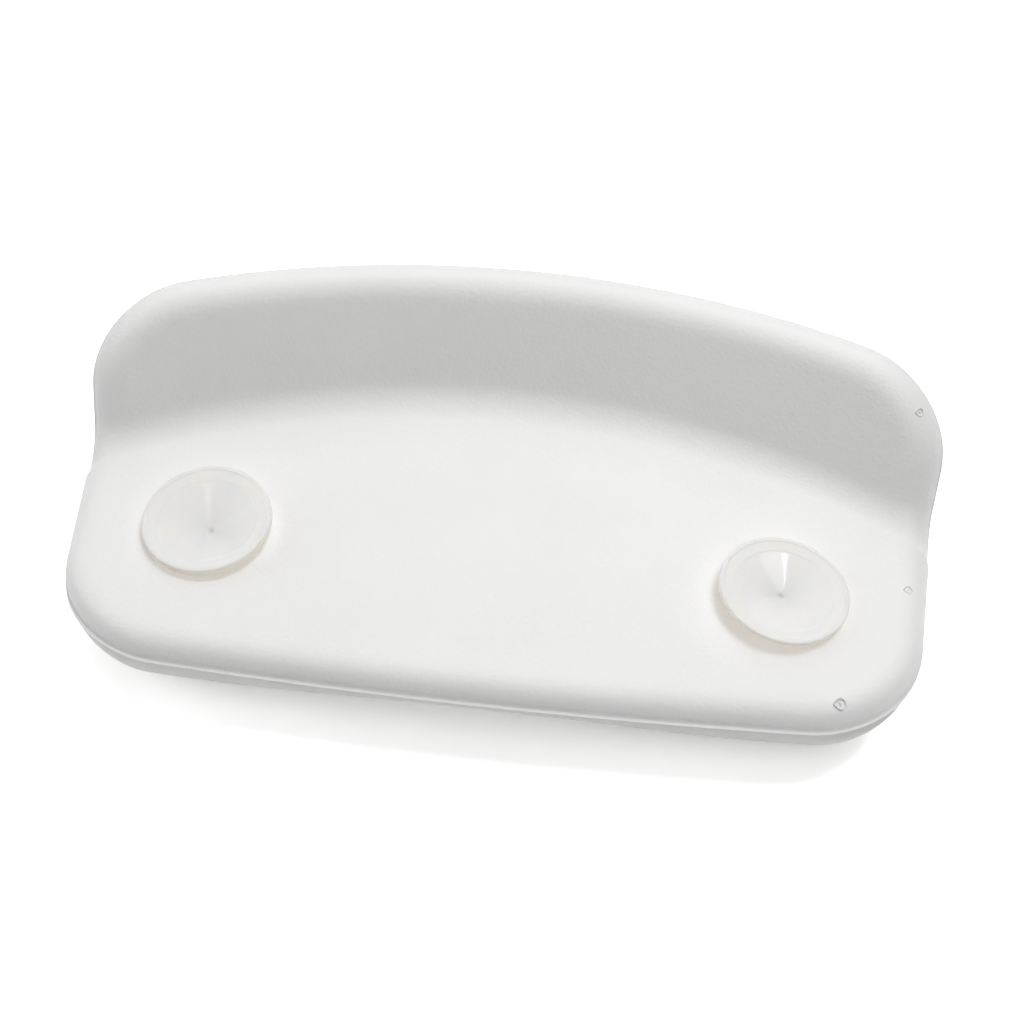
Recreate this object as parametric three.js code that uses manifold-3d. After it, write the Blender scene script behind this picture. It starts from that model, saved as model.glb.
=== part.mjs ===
// Bath pillow: a white moulded foam headrest with a raised rim lip along its far edge and two clear suction
// cups on its back. Units are millimetres. It lies on its head side, cups up: +X along its length, +Y towards
// the lip, +Z up. The origin is under the middle of its bounding box, on the surface it rests on.
import * as THREE from "three";
import { mergeVertices } from "three/addons/utils/BufferGeometryUtils.js";
import Module from "manifold-3d";

const wasm = await Module();
wasm.setup();

// Outline of the parting line, measured from the middle of the line through both cups.
const HALF_LENGTH_FRONT = 140.4; // half length at the front edge, before its corners
const HALF_LENGTH_ROOT = 153; // half length where the lip begins
const HALF_LENGTH_TOP = 153.8; // half length at the top of the lip
const FRONT_CORNER_RADIUS = 34;
const HEAD_CORNER_RADIUS = 30; // the same corners on the head side, which is fuller there
const TOP_CORNER_RADIUS = 31;
const FRONT_REACH = 46.2; // cup line to the front edge, at the ends
const FRONT_BULGE = 5.2; // how much further the middle of the front edge reaches
const ROOT_REACH = 64.3; // cup line to the start of the fold, in the middle
const ARCH_RADIUS = 305; // the lip follows this arc in plan

// Section through the plate and the lip.
const BACK_DEPTH = 11.4; // parting line to the flat back face at the lip, also the rounding of the back edge
const PARTING_RISE = 3; // how much nearer to the back face the parting line runs at the front edge
const EDGE_POWER = 2.35; // fullness of the rounding of the back edge, 2 being a circle
const INNER_FILLET = 15; // between the back face and the lip
const LIP_LEAN = 29.4; // degrees the lip leans away from upright
const LIP_RUN = 40.8; // straight length of the lip above its fold
const LIP_END_RISE = 3.1; // how much taller the lip is at its ends
const LIP_FRONT_DEPTH = 8.6; // parting line to the outer face at the top of the lip
const NECK_DEPTH = 16.9; // parting line to the head face in the middle of the front edge
const NECK_CROWN = 5; // extra depth of the neck hollow away from the edges
const LOBE_DEPTH = 33.9; // parting line to the head face at both ends
const LOBE_START = 112; // from the middle to where the full end depth begins

// Layers of the moulding.
const SKIN = 1.6; // dense outer skin
const CLEARANCE = 0.3; // between neighbouring pieces
const PARTING_STEP = 0.8; // the front half of the mould is this much smaller all round

// Suction cups and the sockets they clip into.
const CUP_SPACING = 200;
const CUP_DIAMETER = 45;
const CUP_RIM_HEIGHT = 6; // sealing lip above the back face
const CUP_HOLLOW = 5.6; // depth of the cup
const CUP_WALL = 1.7;
const CUP_NECK_DIAMETER = 9;
const CUP_HEAD_DIAMETER = 12.8;
const HOLDER_DIAMETER = 17;
const HOLDER_LENGTH = 15.2;
const HOLDER_WALL = 1.5;
const ROUND_SEGMENTS = 40;

const foldRadius = BACK_DEPTH + INNER_FILLET;
const foldAngle = THREE.MathUtils.degToRad(90 - LIP_LEAN);
const foldLength = foldRadius * foldAngle;

const smooth = (t) => THREE.MathUtils.smoothstep(t, 0, 1);
const rootLine = (x) => ROOT_REACH - ARCH_RADIUS + Math.sqrt(ARCH_RADIUS ** 2 - x * x);
const rootSlope = (x) => -x / Math.sqrt(ARCH_RADIUS ** 2 - x * x);
const frontLine = (x) => -FRONT_REACH - FRONT_BULGE * (1 - (x / HALF_LENGTH_FRONT) ** 2);

// The body is a folded sheet with a depth on either side of it. A place on the sheet is (x, s), where s runs
// from the start of the fold: negative on the plate, positive over the fold and up the lip.
const frontEnd = (x) => frontLine(x) - rootLine(x);
const topEnd = (x) => foldLength + LIP_RUN + LIP_END_RISE * (x / HALF_LENGTH_FRONT) ** 2;

// Half length of the sheet at s, without its rounded corners.
function halfLength(s) {
  if (s < 0) {
    return THREE.MathUtils.lerp(HALF_LENGTH_ROOT, HALF_LENGTH_FRONT, s / frontEnd(0));
  }
  return THREE.MathUtils.lerp(HALF_LENGTH_ROOT, HALF_LENGTH_TOP, s / topEnd(0));
}

// How far a rounded corner draws the end of a row in, at a distance from the edge.
function cornerCut(fromEdge, radius) {
  if (fromEdge >= radius) return 0;
  return radius - Math.sqrt(Math.max(radius ** 2 - (radius - fromEdge) ** 2, 0));
}

// Distance to the nearer of two edges that meet in a rounded corner.
function cornerDistance(a, b, radius) {
  if (a < radius && b < radius) return radius - Math.hypot(radius - a, radius - b);
  return Math.min(a, b);
}

// Distances from an edge at which the grid has a line, so that the rounded edges are followed.
const edgeLines = [0, 0.08, 0.26, 0.57, 1].map((t) => t * BACK_DEPTH).concat([18, 27]);
const lastLine = edgeLines[edgeLines.length - 1];
const PLATE_ROWS = 3;
const FOLD_ROWS = 6;
const MIDDLE_COLUMNS = 11;

// Each row gives s from x for a sheet drawn in by an inset.
function sheetRows(inset) {
  const rows = edgeLines.map((e) => (x) => frontEnd(x) + inset + e);
  for (let k = 1; k <= PLATE_ROWS; k += 1) {
    const t = k / (PLATE_ROWS + 1);
    rows.push((x) => THREE.MathUtils.lerp(frontEnd(x) + inset + lastLine, 0, t));
  }
  for (let k = 0; k < FOLD_ROWS; k += 1) {
    rows.push(() => (foldLength * k) / (FOLD_ROWS - 1));
  }
  for (const e of edgeLines.toReversed()) rows.push((x) => topEnd(x) - inset - e);
  return rows;
}

// The place along a row of one column, for the half length that the row has there.
function columnPlace(column, half) {
  const side = edgeLines.length;
  const count = 2 * side + MIDDLE_COLUMNS - 2;
  if (column < side) return edgeLines[column] - half;
  if (column >= count - side) return half - edgeLines[count - 1 - column];
  const t = (column - side + 1) / MIDDLE_COLUMNS;
  return (half - lastLine) * (2 * t - 1);
}
const columnCount = 2 * edgeLines.length + MIDDLE_COLUMNS - 2;

// Grid of sheet places { x, s, d }, d being the distance to the outline drawn in by the inset. The outline's
// front corners have the given radius before it is drawn in.
function sheetGrid(inset, corner) {
  const frontRadius = corner - inset;
  const topRadius = TOP_CORNER_RADIUS - inset;
  return sheetRows(inset).map((row) => {
    const places = [];
    for (let column = 0; column < columnCount; column += 1) {
      let x = columnPlace(column, HALF_LENGTH_FRONT);
      for (let pass = 0; pass < 12; pass += 1) {
        const s = row(x);
        const cutFront = cornerCut(s - frontEnd(x) - inset, frontRadius);
        const cutTop = cornerCut(topEnd(x) - inset - s, topRadius);
        x = columnPlace(column, halfLength(s) - inset - Math.max(cutFront, cutTop));
      }
      const s = row(x);
      const side = halfLength(s) - inset - Math.abs(x);
      const front = cornerDistance(side, s - frontEnd(x) - inset, frontRadius);
      const top = cornerDistance(side, topEnd(x) - inset - s, topRadius);
      places.push({ x, s, d: Math.max(Math.min(front, top), 0) });
    }
    return places;
  });
}

// The sheet climbs towards the front edge under a back face that stays flat.
const partingRise = (s) => PARTING_RISE * THREE.MathUtils.clamp(s / frontEnd(0), 0, 1);

// Point of the sheet and its normal towards the back.
function sheetPoint({ x, s }) {
  const turn = THREE.MathUtils.clamp(s / foldRadius, 0, foldAngle);
  const beyond = Math.max(s - foldLength, 0);
  const y = rootLine(x) + Math.min(s, 0) + foldRadius * Math.sin(turn) + beyond * Math.cos(foldAngle);
  const z = partingRise(s) + foldRadius * (1 - Math.cos(turn)) + beyond * Math.sin(foldAngle);
  const normal = new THREE.Vector3(rootSlope(x) * Math.sin(turn), -Math.sin(turn), Math.cos(turn));
  return { point: new THREE.Vector3(x, y, z), normal: normal.normalize() };
}

// Depth of the head side under the sheet: shallow at the neck, deep at both ends, thin up the lip.
function frontDepth({ x, s }) {
  const lobe = smooth(Math.abs(x) / LOBE_START);
  const plate = THREE.MathUtils.lerp(NECK_DEPTH, LOBE_DEPTH, lobe);
  return THREE.MathUtils.lerp(plate, LIP_FRONT_DEPTH, smooth(s / (foldLength + 15)));
}

function neckCrown({ x, s, d }) {
  const away = smooth(d / 50);
  const onPlate = 1 - smooth((s + 20) / (foldLength + 20));
  return NECK_CROWN * away * onPlate * (1 - smooth(Math.abs(x) / LOBE_START));
}

// Rounding that starts square to the sheet at its outline: a quarter circle where the power is 2.
function rounded(d, radius, power) {
  const inside = 1 - Math.min(d / radius, 1);
  return radius * (1 - inside ** power) ** (1 / power);
}

// Points of one face of the body. side is 1 for the back and -1 for the head side.
function face(side, inset, lift, corner = FRONT_CORNER_RADIUS) {
  return sheetGrid(inset, corner).map((row) =>
    row.map((place) => {
      const { point, normal } = sheetPoint(place);
      const depth =
        side > 0
          ? rounded(place.d, BACK_DEPTH - partingRise(place.s) - inset, EDGE_POWER)
          : rounded(place.d, frontDepth(place) - inset, 2) + neckCrown(place);
      return point.addScaledVector(normal, side * (lift + depth));
    }),
  );
}

// Triangles of a grid of points, seen from the back unless turned.
function gridTriangles(grid, turned) {
  const out = [];
  for (let j = 0; j + 1 < grid.length; j += 1) {
    for (let i = 0; i + 1 < grid[j].length; i += 1) {
      const [a, b, c, d] = [grid[j][i], grid[j][i + 1], grid[j + 1][i + 1], grid[j + 1][i]];
      out.push(...(turned ? [a, c, b, a, d, c] : [a, b, c, a, c, d]));
    }
  }
  return out;
}

// The outline of a grid, in order.
function gridOutline(grid) {
  const last = grid.length - 1;
  return [
    ...grid[0].slice(0, -1),
    ...grid.slice(0, -1).map((row) => row.at(-1)),
    ...grid[last].slice(1).toReversed(),
    ...grid.slice(1).toReversed().map((row) => row[0]),
  ];
}

// Strip that joins the outline of the face looking at the back to that of the face looking away from it.
function stripTriangles(upper, lower) {
  const out = [];
  upper.forEach((point, k) => {
    const next = (k + 1) % upper.length;
    out.push(point, lower[k], upper[next], upper[next], lower[k], lower[next]);
  });
  return out;
}

function geometryOf(points) {
  const soup = new THREE.BufferGeometry().setFromPoints(points);
  return mergeVertices(soup, 1e-4);
}

function closedBody(upper, lower) {
  return geometryOf([
    ...gridTriangles(upper, false),
    ...stripTriangles(gridOutline(upper), gridOutline(lower)),
    ...gridTriangles(lower, true),
  ]);
}

// A turned piece about the Z axis, from a closed profile of radius and height that runs up its outside.
function turnedBody(profile) {
  const points = profile.map(([radius, height]) => new THREE.Vector2(radius, height));
  const lathe = new THREE.LatheGeometry(points, ROUND_SEGMENTS).toNonIndexed();
  // LatheGeometry turns about Y.
  lathe.rotateX(Math.PI / 2);
  const merged = mergeVertices(
    new THREE.BufferGeometry().setAttribute("position", lathe.getAttribute("position")),
    1e-4,
  );
  const order = merged.index.array;
  const kept = [];
  for (let k = 0; k < order.length; k += 3) {
    const [a, b, c] = [order[k], order[k + 1], order[k + 2]];
    if (a !== b && b !== c && c !== a) kept.push(a, b, c);
  }
  return merged.setIndex(kept);
}

function solid(geometry) {
  const mesh = new wasm.Mesh({
    numProp: 3,
    vertProperties: new Float32Array(geometry.getAttribute("position").array),
    triVerts: new Uint32Array(geometry.index.array),
  });
  return new wasm.Manifold(mesh);
}

function geometryOfSolid(made) {
  const mesh = made.getMesh();
  const geometry = new THREE.BufferGeometry();
  geometry.setAttribute("position", new THREE.BufferAttribute(mesh.vertProperties, 3));
  return geometry.setIndex(new THREE.BufferAttribute(mesh.triVerts, 1));
}

function piece(name, geometry, material) {
  geometry.computeVertexNormals();
  const mesh = new THREE.Mesh(geometry, material);
  mesh.name = name;
  return mesh;
}

const skinMaterial = new THREE.MeshStandardMaterial({ name: "white_foam_skin", color: 0xf2f1ee, roughness: 0.6 });
const headMaterial = new THREE.MeshStandardMaterial({ name: "white_head_skin", color: 0xf0efec, roughness: 0.6 });
const coreMaterial = new THREE.MeshStandardMaterial({ name: "foam_core", color: 0xefe9da, roughness: 0.9 });
const holderMaterial = new THREE.MeshStandardMaterial({ name: "white_plastic", color: 0xf4f4f2, roughness: 0.4 });
const cupMaterial = new THREE.MeshStandardMaterial({ name: "clear_soft_vinyl", color: 0xece9df, roughness: 0.15 });

// Sizes of the cup and its holder that follow from the driving ones. Heights are from the flat back face.
const cupRadius = CUP_DIAMETER / 2;
const neckRadius = CUP_NECK_DIAMETER / 2;
const headRadius = CUP_HEAD_DIAMETER / 2;
const holderRadius = HOLDER_DIAMETER / 2;
const pocketRadius = holderRadius + CLEARANCE;
const holderTop = -CLEARANCE - 0.2;
const holderBottom = holderTop - HOLDER_LENGTH;
const pocketBottom = holderBottom - 2 * CLEARANCE;
const throatRadius = neckRadius + 1.2 * CLEARANCE;
const chamberRadius = Math.min(headRadius + 2 * CLEARANCE, holderRadius - HOLDER_WALL);
const throatTop = holderTop - 2.6;
const throatBottom = throatTop - 2.6;
const headTop = throatBottom - 1.5 * CLEARANCE;
const headBottom = holderBottom + HOLDER_WALL + 4 * CLEARANCE;

// Soft cup: a flat sealing land, a shallow lip, a cone with a gate mark, a neck and a mushroom head.
function suctionCup() {
  const rim = CUP_RIM_HEIGHT;
  const bend = 0.77 * cupRadius;
  const bendHeight = rim - 0.15 * CUP_HOLLOW;
  const apex = rim - CUP_HOLLOW;
  const hubRadius = holderRadius - CLEARANCE;
  const coneSlope = (bendHeight - apex) / bend;
  const hubHeight = apex + coneSlope * hubRadius - CUP_WALL;
  return turnedBody([
    [0, headBottom],
    [0.45 * headRadius, headBottom + 0.3],
    [0.8 * headRadius, headBottom + 1.4],
    [headRadius, headBottom + 3.2],
    [headRadius, headTop - 0.8],
    [headRadius - 0.8, headTop],
    [neckRadius, headTop],
    [neckRadius, throatTop + 0.4],
    [neckRadius + 0.5, throatTop + 1.1],
    [hubRadius, hubHeight],
    [bend, bendHeight - 0.85 * CUP_WALL],
    [cupRadius - 0.5, rim - 0.75 * CUP_WALL],
    [cupRadius, rim - 0.45 * CUP_WALL],
    [cupRadius - 0.1, rim - 0.2],
    [cupRadius - 0.4, rim],
    [cupRadius - 1.6, rim],
    [bend, bendHeight],
    [1.9, apex + coneSlope * 1.9],
    [1.5, apex - 0.1],
    [0.5, apex - 0.1],
    [0.3, apex + 0.25],
    [0, apex + 0.3],
  ]);
}

// Moulded socket: ribbed outside, a countersunk mouth, a throat for the neck and a chamber for the head.
function cupHolder() {
  const rib = holderRadius;
  const body = holderRadius - 0.5;
  const ribAt = (k) => holderBottom + (0.2 + 0.3 * k) * HOLDER_LENGTH;
  return turnedBody([
    [0, holderBottom],
    [body - 0.8, holderBottom],
    [body, holderBottom + 0.8],
    [body, ribAt(0)],
    [rib, ribAt(0) + 0.8],
    [body, ribAt(0) + 1.2],
    [body, ribAt(1)],
    [rib, ribAt(1) + 0.8],
    [body, ribAt(1) + 1.2],
    [body, holderTop - 2.4],
    [rib, holderTop - 2],
    [rib, holderTop],
    [rib - 0.4, holderTop],
    [throatRadius, throatTop],
    [throatRadius, throatBottom],
    [chamberRadius, throatBottom],
    [chamberRadius, holderBottom + HOLDER_WALL + 1],
    [chamberRadius - 1, holderBottom + HOLDER_WALL],
    [0, holderBottom + HOLDER_WALL],
  ]);
}

// Cutter for the pocket that a holder sits in. Heights are from the sheet.
function pocketCutter(x, bottom) {
  const top = BACK_DEPTH + 5;
  const height = top - (BACK_DEPTH + bottom);
  const cylinder = new THREE.CylinderGeometry(pocketRadius, pocketRadius, height, ROUND_SEGMENTS).toNonIndexed();
  cylinder.rotateX(Math.PI / 2);
  cylinder.translate(x, 0, top - height / 2);
  const bare = new THREE.BufferGeometry().setAttribute("position", cylinder.getAttribute("position"));
  return solid(mergeVertices(bare, 1e-4));
}

function withPockets(geometry, bottom) {
  let made = solid(geometry);
  for (const x of [-CUP_SPACING / 2, CUP_SPACING / 2]) made = made.subtract(pocketCutter(x, bottom));
  return geometryOfSolid(made);
}

const half = CLEARANCE / 2;
const coreInset = SKIN + CLEARANCE;
const backOuter = face(1, 0, half);
const frontOuter = face(-1, PARTING_STEP, half, HEAD_CORNER_RADIUS);
const backSkin = closedBody(backOuter, face(1, SKIN, half));
const frontSkin = closedBody(face(-1, PARTING_STEP + SKIN, half), frontOuter);
const core = closedBody(face(1, coreInset, 0), face(-1, PARTING_STEP + coreInset, 0));

const group = new THREE.Group();
group.name = "bath_pillow";

const body = new THREE.Group();
body.name = "moulded_body";
body.add(piece("foam_core", withPockets(core, pocketBottom), coreMaterial));
body.add(piece("back_skin", withPockets(backSkin, -BACK_DEPTH / 2), skinMaterial));
body.add(piece("front_skin", frontSkin, headMaterial));
group.add(body);

const backFace = BACK_DEPTH + half;
for (const [side, x] of [["left", -CUP_SPACING / 2], ["right", CUP_SPACING / 2]]) {
  const mount = new THREE.Group();
  mount.name = `${side}_cup_mount`;
  mount.position.set(x, 0, backFace);
  mount.add(piece(`${side}_cup_holder`, cupHolder(), holderMaterial));
  mount.add(piece(`${side}_suction_cup`, suctionCup(), cupMaterial));
  group.add(mount);
}

// Put the origin under the middle of the bounding box.
const box = new THREE.Box3().setFromPoints([...backOuter.flat(), ...frontOuter.flat()]);
const middle = box.getCenter(new THREE.Vector3());
group.children.forEach((child) => child.position.sub(new THREE.Vector3(middle.x, middle.y, box.min.z)));

export default group;
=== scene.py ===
"""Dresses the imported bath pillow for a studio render.

The pillow is one white foam moulding with a flat back, a raised arched lip and a contoured head side, and two
clear suction cups that clip into sockets in its back. It lies on its head side with the cups up. The frame is
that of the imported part: +X along the pillow, +Y towards the lip, +Z up, in metres. Sizes of pieces are in
millimetres.
"""

from __future__ import annotations

import logging
import math
from collections.abc import Sequence
from dataclasses import dataclass
from enum import Enum

import bpy
import numpy as np
from mathutils import Matrix
from mathutils import Vector

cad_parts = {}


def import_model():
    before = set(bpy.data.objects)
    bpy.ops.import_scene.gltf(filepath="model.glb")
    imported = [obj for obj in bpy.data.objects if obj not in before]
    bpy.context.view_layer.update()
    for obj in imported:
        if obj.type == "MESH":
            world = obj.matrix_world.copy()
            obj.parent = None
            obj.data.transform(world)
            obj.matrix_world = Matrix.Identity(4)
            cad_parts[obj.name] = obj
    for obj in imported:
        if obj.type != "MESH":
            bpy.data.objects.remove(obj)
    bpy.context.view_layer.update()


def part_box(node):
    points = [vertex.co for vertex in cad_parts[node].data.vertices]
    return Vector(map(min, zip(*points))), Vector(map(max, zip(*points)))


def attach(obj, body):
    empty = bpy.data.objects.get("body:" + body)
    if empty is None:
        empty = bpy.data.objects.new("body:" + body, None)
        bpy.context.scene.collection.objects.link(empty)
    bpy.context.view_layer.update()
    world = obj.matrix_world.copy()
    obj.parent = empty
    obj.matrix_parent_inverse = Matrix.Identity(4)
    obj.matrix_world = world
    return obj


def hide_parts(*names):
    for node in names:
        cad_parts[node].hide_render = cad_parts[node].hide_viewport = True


MM = 0.001
LOG = logging.getLogger("bath_pillow")

Colour = tuple[float, float, float]
Span = tuple[float, float]
Faces = Sequence[Sequence[int]]
Profile = Sequence[tuple[float, float]]
Material = bpy.types.Material
Socket = bpy.types.NodeSocket


class Side(Enum):
    """The two faces of the moulding, by the sign of the way out from the sheet between them."""

    BACK = 1
    HEAD = -1


class End(Enum):
    """The two suction cups, by the names that their CAD nodes and bodies start with."""

    LEFT = "left"
    RIGHT = "right"


# How far each soft cup sits askew in its socket.
ASKEW = {
    End.LEFT: {"seat": (0.6, 0.9), "lean": (-0.82, 2.55), "tilt": (0.038, 0.044)},
    End.RIGHT: {"seat": (-0.9, -1.3), "lean": (-0.44, -2.09), "tilt": (-0.100, -0.045)},
}

# Place on the sheet, as x and s, and relative size of each vent mark.
VENTS = ((118.5, -81.5, 1.1), (142.8, -21.4, 0.8), (145.1, 59.5, 0.85))

# Small forms of a cup: steps in radius and in height from the place where each sits.
NECK_FLARE = ((0.0, 0.4), (0.5, 1.1))
CUP_LAND = ((-0.1, -0.2), (-0.4, 0.0), (-1.5, 0.0), (-1.75, -0.3))
CONE_BEND = ((0.5, 0.1), (0.0, 0.0), (-0.6, -0.3))
GATE_PIT = ((0.85, 0.1), (0.65, -0.2), (0.0, -0.25))

# Dome under the mushroom head of a cup: share of the head's radius, and height over its bottom.
HEAD_DOME = ((0.0, 0.0), (0.45, 0.3), (0.8, 1.4), (1.0, 3.2))

# Run along x, run along s and start of each of the slow waves in the mould.
WAVES = ((13.0, 31.0, 0.0), (27.0, -11.0, 1.3), (-41.0, 17.0, 0.0))


def smooth(t: np.ndarray) -> np.ndarray:
    """Eases from 0 to 1 as t goes from 0 to 1."""
    u = np.clip(t, 0.0, 1.0)
    return u * u * (3.0 - 2.0 * u)


def mix(a: np.ndarray | float, b: np.ndarray | float, t: np.ndarray | float) -> np.ndarray:
    """Straight line from a to b, also beyond both."""
    return a + (b - a) * t


class Nodes:
    """A node tree, with short calls for adding and linking nodes."""

    def __init__(self, tree: bpy.types.NodeTree) -> None:
        """Takes the tree to add to."""
        self.tree = tree

    def add(
        self, kind: str, inputs: dict[str | int, object] | None = None, **settings: object
    ) -> bpy.types.Node:
        """Adds a node.

        Args:
            kind: Type of the node.
            inputs: Value or output socket for each input, by its name or, where names repeat, its number.
            settings: Attributes of the node.

        Returns:
            The new node.
        """
        node = self.tree.nodes.new(kind)
        for name, value in settings.items():
            setattr(node, name, value)
        for key, value in (inputs or {}).items():
            socket = next(s for k, s in enumerate(node.inputs) if key in (k, s.name) and s.enabled)
            if isinstance(value, Socket):
                self.tree.links.new(value, socket)
            else:
                socket.default_value = value
        return node

    def out(self, kind: str, inputs: dict[str | int, object], **settings: object) -> Socket:
        """Adds a node and returns the first of its outputs in use."""
        return next(s for s in self.add(kind, inputs, **settings).outputs if s.enabled)

    def seen(self, *rays: str) -> Socket:
        """Tells rays of some kinds from all others.

        Args:
            rays: Kinds of rays, by the names of Light Path's outputs.

        Returns:
            1 on those rays and 0 on the others.
        """
        path = self.add("ShaderNodeLightPath")
        total = path.outputs[rays[0]]
        for ray in rays[1:]:
            inputs = {0: total, 1: path.outputs[ray]}
            total = self.out("ShaderNodeMath", inputs, operation="ADD", use_clamp=True)
        return total


class Graph(Nodes):
    """A material's node tree."""

    def __init__(self, name: str) -> None:
        """Starts a material with an empty tree.

        Args:
            name: Name of the material.
        """
        self.material = bpy.data.materials.new(name)
        self.material.use_nodes = True
        super().__init__(self.material.node_tree)
        self.tree.nodes.clear()

    def finish(self, shader: Socket) -> Material:
        """Links the shader to the output and returns the material."""
        self.add("ShaderNodeOutputMaterial", {"Surface": shader})
        return self.material

    def place(self) -> Socket:
        """Place in the object's own space."""
        return self.add("ShaderNodeTexCoord").outputs["Object"]

    def noise(self, place: Socket, size_mm: float, detail: float) -> Socket:
        """Noise from 0 to 1 with features of about one size, and octaves of detail on top of it."""
        inputs = {"Vector": place, "Scale": 1.0 / (size_mm * MM), "Detail": detail}
        return self.out("ShaderNodeTexNoise", inputs)

    def span(self, value: Socket, source: Span = (0.0, 1.0), target: Span = (0.0, 1.0)) -> Socket:
        """Maps one range of a value onto another, clamped.

        Args:
            value: Value to map.
            source: Start and end of the range it comes from.
            target: Start and end of the range it goes to.

        Returns:
            The mapped value.
        """
        inputs = {"Value": value, "From Min": source[0], "From Max": source[1]}
        inputs |= {"To Min": target[0], "To Max": target[1]}
        return self.out("ShaderNodeMapRange", inputs)

    def blend(self, factor: Socket, first: Colour | Socket, second: Colour) -> Socket:
        """Mixes two colours.

        Args:
            factor: Share of the second colour.
            first: Colour at 0, or the socket that gives it.
            second: Colour at 1.

        Returns:
            The mixed colour.
        """
        start = first if isinstance(first, Socket) else (*first, 1.0)
        inputs = {"Factor": factor, "A": start, "B": (*second, 1.0)}
        return self.out("ShaderNodeMix", inputs, data_type="RGBA")

    def bump(self, height: Socket, depth_mm: float, under: Socket | None = None) -> Socket:
        """Turns a height into a normal.

        Args:
            height: Height from 0 to 1.
            depth_mm: Depth of the full range.
            under: Normal of a coarser bump below this one.

        Returns:
            The normal.
        """
        inputs = {"Height": height, "Strength": 1.0, "Distance": depth_mm * MM}
        if under is not None:
            inputs["Normal"] = under
        return self.out("ShaderNodeBump", inputs)


@dataclass(frozen=True)
class FoamSkin:
    """Satin white skin of moulded foam, with a fine grain and a faint cloudiness."""

    name: str
    colour: Colour
    shade: Colour
    roughness: Span = (0.46, 0.55)
    gloss: float = 0.4
    contrast: Span = (0.3, 0.7)
    cloud_mm: float = 38.0
    peel_mm: float = 3.6
    peel_depth_mm: float = 0.06
    grain_mm: float = 1.3
    grain_depth_mm: float = 0.16

    def material(self) -> Material:
        """Builds the material.

        Returns:
            The material.
        """
        graph = Graph(self.name)
        place = graph.place()
        cloud = graph.span(graph.noise(place, self.cloud_mm, detail=3.0), source=self.contrast)
        colour = graph.blend(cloud, self.colour, self.shade)
        peel = graph.bump(graph.noise(place, self.peel_mm, detail=1.0), self.peel_depth_mm)
        grain = graph.bump(graph.noise(place, self.grain_mm, detail=2.0), self.grain_depth_mm, peel)
        rough = graph.span(cloud, target=self.roughness)
        inputs = {"Base Color": colour, "Roughness": rough, "Normal": grain, "Specular IOR Level": self.gloss}
        return graph.finish(graph.out("ShaderNodeBsdfPrincipled", inputs))


@dataclass(frozen=True)
class OpenFoam:
    """Cream open-cell foam, with its cells as small pits, painted darker inside as shade."""

    name: str = "foam_core"
    colour: Colour = (0.86, 0.82, 0.70)
    # Darker colour painted into the hollows of the cells as shade.
    pit: Colour = (0.62, 0.56, 0.42)
    roughness: float = 0.95
    gloss: float = 0.2
    wall_band: Span = (0.15, 0.6)
    cell_mm: float = 0.9
    cell_depth_mm: float = 0.35

    def material(self) -> Material:
        """Builds the material.

        Returns:
            The material.
        """
        graph = Graph(self.name)
        inputs = {"Vector": graph.place(), "Scale": 1.0 / (self.cell_mm * MM)}
        wall = graph.span(graph.out("ShaderNodeTexVoronoi", inputs), source=self.wall_band)
        # The hollows of the cells take the darker colour: painted shade.
        colour = graph.blend(wall, self.pit, self.colour)
        normal = graph.bump(wall, self.cell_depth_mm)
        inputs = {"Base Color": colour, "Normal": normal}
        inputs |= {"Roughness": self.roughness, "Specular IOR Level": self.gloss}
        return graph.finish(graph.out("ShaderNodeBsdfPrincipled", inputs))


@dataclass(frozen=True)
class MouldedPlastic:
    """Hard white plastic with a faint moulding texture."""

    name: str = "white_plastic"
    colour: Colour = (0.90, 0.90, 0.88)
    shade: Colour = (0.86, 0.86, 0.84)
    roughness: float = 0.35
    cloud_mm: float = 6.0
    grain_mm: float = 0.4
    grain_depth_mm: float = 0.006

    def material(self) -> Material:
        """Builds the material.

        Returns:
            The material.
        """
        graph = Graph(self.name)
        place = graph.place()
        cloud = graph.noise(place, self.cloud_mm, detail=2.0)
        normal = graph.bump(graph.noise(place, self.grain_mm, detail=1.0), self.grain_depth_mm)
        colour = graph.blend(cloud, self.colour, self.shade)
        inputs = {"Base Color": colour, "Roughness": self.roughness, "Normal": normal}
        return graph.finish(graph.out("ShaderNodeBsdfPrincipled", inputs))


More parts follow.
